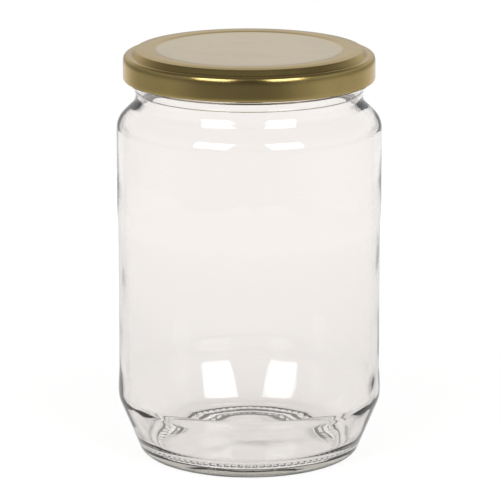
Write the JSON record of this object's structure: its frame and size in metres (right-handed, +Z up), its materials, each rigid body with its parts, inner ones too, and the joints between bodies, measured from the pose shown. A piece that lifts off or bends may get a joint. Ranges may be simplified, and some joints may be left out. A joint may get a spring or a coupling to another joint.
{
  "type": "jar",
  "caption": "Round clear glass food jar with a tapered heel and wide threaded mouth, closed by a one-piece gold twist-off metal lid with a sealing ring inside.",
  "frame": {"origin": "centre of the plane that the jar stands on", "axes": "+Z up along the jar's axis from the base to the lid; +X and +Y level, with a lug of the lid at 30 degrees from +X towards +Y and a thread of the jar centred on +X"},
  "size_m": [0.0902, 0.0902, 0.141],
  "materials": {
    "clear_glass": "clear flint container glass, fire polished outside",
    "gold_lacquered_tinplate": "thin transparent gold lacquer over rolled tinplate, satin",
    "sealing_compound": "soft off-white plastisol, slightly glossy"
  },
  "bodies": {
    "jar": {"glass_jar": "clear_glass"},
    "seal": {"sealing_ring": "sealing_compound"},
    "lid": {"lid_shell": "gold_lacquered_tinplate"}
  },
  "joints": [
    {"name": "lid_lift", "type": "slide", "parent": "jar", "child": "seal", "axis": [0, 0, 1], "range_m": [0, 0.12]},
    {"name": "lid_turn", "type": "hinge", "parent": "seal", "child": "lid", "pos_m": [0, 0, 0.138], "axis": [0, 0, 1], "range_deg": [-30, 0]}
  ]
}
